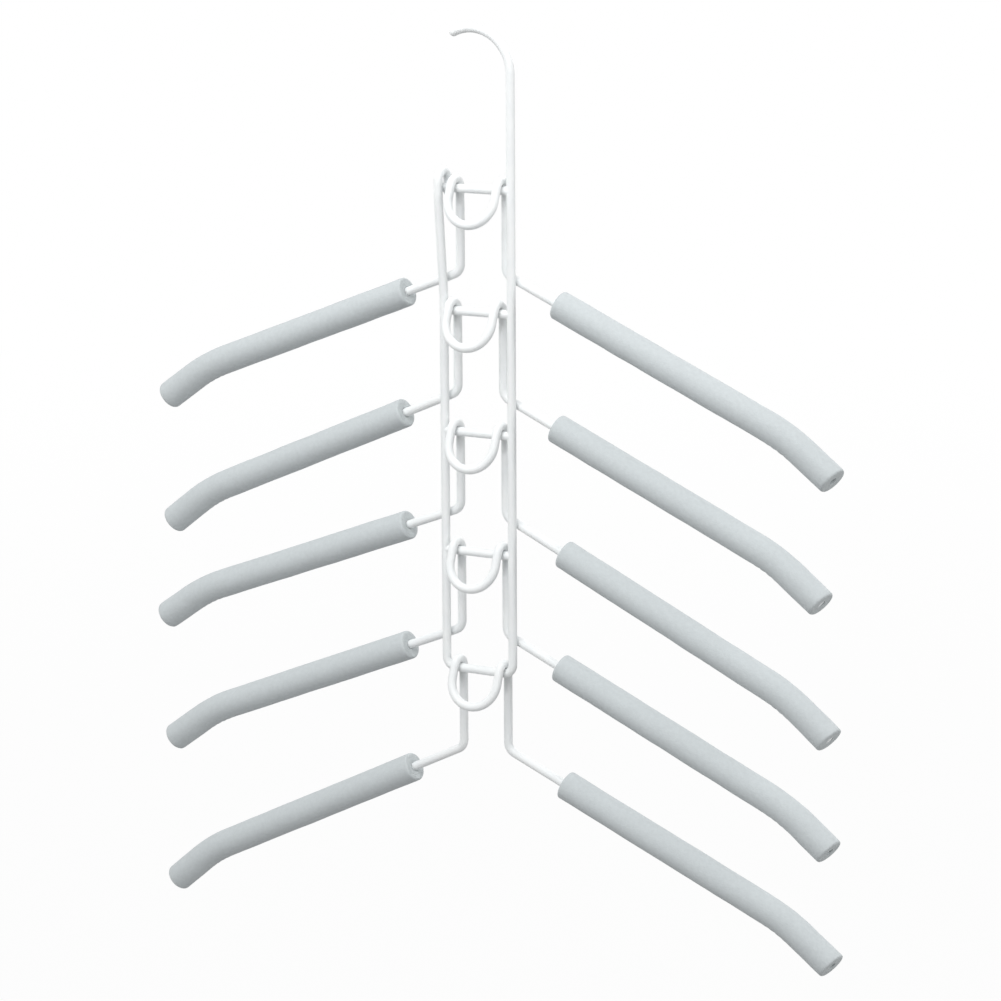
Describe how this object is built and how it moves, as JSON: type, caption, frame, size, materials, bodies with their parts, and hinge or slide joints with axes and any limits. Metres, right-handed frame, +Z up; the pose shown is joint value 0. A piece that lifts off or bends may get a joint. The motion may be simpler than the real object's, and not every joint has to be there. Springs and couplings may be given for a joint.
{
  "type": "folding clothes hanger",
  "caption": "Tiered wire clothes hanger with a hook, a ladder-like frame and foam-sleeved arms that swing up on its rungs for folding.",
  "frame": {"origin": "the underside of the hook at its highest point, where the hanger rests on a rail", "axes": "+Z up, +X along the rungs towards the upright that carries the hook, -Y towards the viewer, the arms' bows in front and the arms behind"},
  "size_m": [0.406, 0.0257, 0.4808],
  "materials": {
    "coated_wire": "satin",
    "grey_foam": "matte"
  },
  "bodies": {
    "frame": {"frame_wire": "coated_wire", "top_rung": "coated_wire", "second_rung": "coated_wire", "third_rung": "coated_wire", "fourth_rung": "coated_wire"},
    "tier_1": {"tier_1_wire": "coated_wire", "tier_1_left_sleeve": "grey_foam", "tier_1_right_sleeve": "grey_foam"},
    "tier_2": {"tier_2_wire": "coated_wire", "tier_2_left_sleeve": "grey_foam", "tier_2_right_sleeve": "grey_foam"},
    "tier_3": {"tier_3_wire": "coated_wire", "tier_3_left_sleeve": "grey_foam", "tier_3_right_sleeve": "grey_foam"},
    "tier_4": {"tier_4_wire": "coated_wire", "tier_4_left_sleeve": "grey_foam", "tier_4_right_sleeve": "grey_foam"},
    "tier_5": {"tier_5_wire": "coated_wire", "tier_5_left_sleeve": "grey_foam", "tier_5_right_sleeve": "grey_foam"}
  },
  "joints": [
    {"name": "tier_1_swing", "type": "hinge", "parent": "frame", "child": "tier_1", "pos_m": [0.003, 0, -0.07755], "axis": [1, 0, 0], "range_deg": [0, 160]},
    {"name": "tier_2_swing", "type": "hinge", "parent": "frame", "child": "tier_2", "pos_m": [0.003, 0, -0.13955], "axis": [1, 0, 0], "range_deg": [0, 130]},
    {"name": "tier_3_swing", "type": "hinge", "parent": "frame", "child": "tier_3", "pos_m": [0.003, 0, -0.20155], "axis": [1, 0, 0], "range_deg": [0, 130]},
    {"name": "tier_4_swing", "type": "hinge", "parent": "frame", "child": "tier_4", "pos_m": [0.003, 0, -0.26355], "axis": [1, 0, 0], "range_deg": [0, 130]},
    {"name": "tier_5_swing", "type": "hinge", "parent": "frame", "child": "tier_5", "pos_m": [0.003, 0, -0.32555], "axis": [1, 0, 0], "range_deg": [0, 130]}
  ]
}
